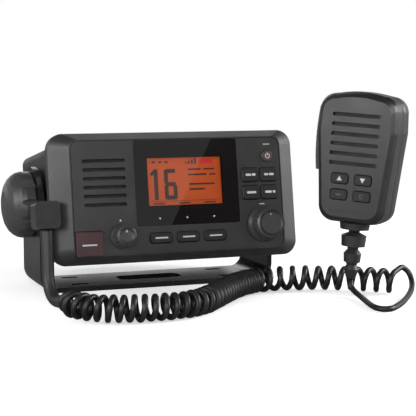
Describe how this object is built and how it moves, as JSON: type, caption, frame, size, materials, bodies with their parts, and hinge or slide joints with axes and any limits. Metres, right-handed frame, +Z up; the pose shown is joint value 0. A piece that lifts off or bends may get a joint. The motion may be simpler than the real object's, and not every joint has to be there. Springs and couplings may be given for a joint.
{
  "type": "vhf marine radio",
  "caption": "Marine VHF radio on a tilting gimbal bracket, with front speaker grille, display, keys, knobs and a fist microphone on a curly cord.",
  "frame": {"origin": "bottom centre of the gimbal bracket's base", "axes": "+X to the user's right, +Y to the back, +Z up; the radio's face looks toward -Y and is tilted back 9.5 degrees"},
  "size_m": [0.2578, 0.2337, 0.1353],
  "materials": {
    "black_plastic": "fine texture",
    "charcoal_plastic": "fine texture",
    "gloss_window": "gloss",
    "lcd": "backlit",
    "mesh": "woven",
    "rubber": "matt",
    "key_rubber": "matt",
    "red_plastic": "satin",
    "cast_metal": "powder coat",
    "bracket_plastic": "fine texture",
    "steel": "plated",
    "brass": "machined",
    "board": "solder mask",
    "cord": "satin",
    "magnet": "plated"
  },
  "bodies": {
    "bracket": {"gimbal_bracket": "bracket_plastic", "cord_lead": "rubber", "curly_cord": "cord", "mic_cord_loop": "cord"},
    "radio": {"left_tilt_washer": "rubber", "right_tilt_washer": "rubber", "left_tilt_insert": "brass", "right_tilt_insert": "brass", "front_bezel": "charcoal_plastic", "display_window": "gloss_window", "lcd_panel": "lcd", "grille_mesh": "mesh", "front_speaker": "magnet", "front_circuit_board": "board", "keypad_mat": "key_rubber", "soft_key_mat": "key_rubber", "distress_hinge_pin": "steel", "front_gasket": "rubber", "rear_chassis": "cast_metal", "main_circuit_board": "board", "board_screws": "steel", "amplifier_shield": "steel", "case_screws": "steel", "antenna_connector": "steel", "power_gland": "rubber", "cord_gland": "black_plastic", "volume_encoder": "steel", "channel_encoder": "steel"},
    "left_knob": {"left_tilt_knob": "black_plastic", "left_tilt_stud": "steel"},
    "right_knob": {"right_tilt_knob": "black_plastic", "right_tilt_stud": "steel"},
    "volume_push": {"volume_plunger": "black_plastic"},
    "volume_control": {"volume_shaft": "steel", "volume_knob": "black_plastic"},
    "channel_push": {"channel_plunger": "black_plastic"},
    "channel_control": {"channel_shaft": "steel", "channel_knob": "black_plastic"},
    "cover": {"distress_cover": "red_plastic"},
    "distress": {"distress_button": "red_plastic"},
    "microphone": {"mic_front_shell": "charcoal_plastic", "mic_rear_shell": "charcoal_plastic", "mic_hang_stud": "steel", "mic_screws": "steel", "mic_circuit_board": "board", "mic_capsule": "steel", "mic_boot": "rubber"},
    "ptt": {"ptt_button": "rubber"},
    "upper_left_key_cap": {"upper_left_key": "key_rubber"},
    "upper_right_key_cap": {"upper_right_key": "key_rubber"},
    "lower_left_key_cap": {"lower_left_key": "key_rubber"},
    "lower_right_key_cap": {"lower_right_key": "key_rubber"},
    "round_key_cap": {"round_key": "key_rubber"},
    "left_soft_key_cap": {"left_soft_key": "key_rubber"},
    "centre_soft_key_cap": {"centre_soft_key": "key_rubber"},
    "right_soft_key_cap": {"right_soft_key": "key_rubber"},
    "mic_up_left_key_cap": {"mic_up_left_key": "key_rubber"},
    "mic_up_right_key_cap": {"mic_up_right_key": "key_rubber"},
    "mic_low_left_key_cap": {"mic_low_left_key": "key_rubber"},
    "mic_low_right_key_cap": {"mic_low_right_key": "key_rubber"}
  },
  "joints": [
    {"name": "radio_tilt", "type": "hinge", "parent": "bracket", "child": "radio", "pos_m": [0, 0, 0.058], "axis": [1, 0, 0], "range_deg": [-10, 11], "deforming": ["cord_lead"]},
    {"name": "left_knob_turn", "type": "hinge", "parent": "radio", "child": "left_knob", "pos_m": [-0.09, 0, 0.058], "axis": [-1, 0, 0], "continuous": true},
    {"name": "right_knob_turn", "type": "hinge", "parent": "radio", "child": "right_knob", "pos_m": [0.09, 0, 0.058], "axis": [1, 0, 0], "continuous": true},
    {"name": "volume_press", "type": "slide", "parent": "radio", "child": "volume_push", "axis": [0, 0.9863, -0.165], "range_m": [0, 0.0008], "stiffness_N_per_m": 1500},
    {"name": "volume_turn", "type": "hinge", "parent": "volume_push", "child": "volume_control", "pos_m": [-0.0415, -0.0784, 0.04395], "axis": [0, -0.9863, 0.165], "continuous": true},
    {"name": "channel_press", "type": "slide", "parent": "radio", "child": "channel_push", "axis": [0, 0.9863, -0.165], "range_m": [0, 0.0008], "stiffness_N_per_m": 1500},
    {"name": "channel_turn", "type": "hinge", "parent": "channel_push", "child": "channel_control", "pos_m": [0.058, -0.07777, 0.04769], "axis": [0, -0.9863, 0.165], "continuous": true},
    {"name": "distress_cover_lift", "type": "hinge", "parent": "radio", "child": "cover", "pos_m": [-0.0628, -0.07113, 0.04557], "axis": [-1, 0, 0], "range_deg": [0, 100], "stiffness_Nm_per_rad": 0.004, "springref_deg": -17.19},
    {"name": "distress_press", "type": "slide", "parent": "radio", "child": "distress", "axis": [0, 0.9863, -0.165], "range_m": [0, 0.0006], "stiffness_N_per_m": 1200},
    {"name": "upper_left_key_press", "type": "slide", "parent": "radio", "child": "upper_left_key_cap", "axis": [0, 0.9863, -0.165], "range_m": [0, 0.0009], "stiffness_N_per_m": 1200},
    {"name": "upper_right_key_press", "type": "slide", "parent": "radio", "child": "upper_right_key_cap", "axis": [0, 0.9863, -0.165], "range_m": [0, 0.0009], "stiffness_N_per_m": 1200},
    {"name": "lower_left_key_press", "type": "slide", "parent": "radio", "child": "lower_left_key_cap", "axis": [0, 0.9863, -0.165], "range_m": [0, 0.0009], "stiffness_N_per_m": 1200},
    {"name": "lower_right_key_press", "type": "slide", "parent": "radio", "child": "lower_right_key_cap", "axis": [0, 0.9863, -0.165], "range_m": [0, 0.0009], "stiffness_N_per_m": 1200},
    {"name": "round_key_press", "type": "slide", "parent": "radio", "child": "round_key_cap", "axis": [0, 0.9863, -0.165], "range_m": [0, 0.0009], "stiffness_N_per_m": 1200},
    {"name": "left_soft_key_press", "type": "slide", "parent": "radio", "child": "left_soft_key_cap", "axis": [0, 0.9863, -0.165], "range_m": [0, 0.0009], "stiffness_N_per_m": 1200},
    {"name": "centre_soft_key_press", "type": "slide", "parent": "radio", "child": "centre_soft_key_cap", "axis": [0, 0.9863, -0.165], "range_m": [0, 0.0009], "stiffness_N_per_m": 1200},
    {"name": "right_soft_key_press", "type": "slide", "parent": "radio", "child": "right_soft_key_cap", "axis": [0, 0.9863, -0.165], "range_m": [0, 0.0009], "stiffness_N_per_m": 1200},
    {"name": "microphone_lift", "type": "slide", "parent": "bracket", "child": "microphone", "axis": [0, 0, 1], "range_m": [0, 0.2]},
    {"name": "ptt_press", "type": "slide", "parent": "microphone", "child": "ptt", "axis": [0.6532, -0.7547, -0.061], "range_m": [0, 0.0016], "stiffness_N_per_m": 1500},
    {"name": "mic_up_left_key_press", "type": "slide", "parent": "microphone", "child": "mic_up_left_key_cap", "axis": [0.7542, 0.6557, -0.0349], "range_m": [0, 0.0006], "stiffness_N_per_m": 1200},
    {"name": "mic_up_right_key_press", "type": "slide", "parent": "microphone", "child": "mic_up_right_key_cap", "axis": [0.7542, 0.6557, -0.0349], "range_m": [0, 0.0006], "stiffness_N_per_m": 1200},
    {"name": "mic_low_left_key_press", "type": "slide", "parent": "microphone", "child": "mic_low_left_key_cap", "axis": [0.7542, 0.6557, -0.0349], "range_m": [0, 0.0006], "stiffness_N_per_m": 1200},
    {"name": "mic_low_right_key_press", "type": "slide", "parent": "microphone", "child": "mic_low_right_key_cap", "axis": [0.7542, 0.6557, -0.0349], "range_m": [0, 0.0006], "stiffness_N_per_m": 1200}
  ]
}
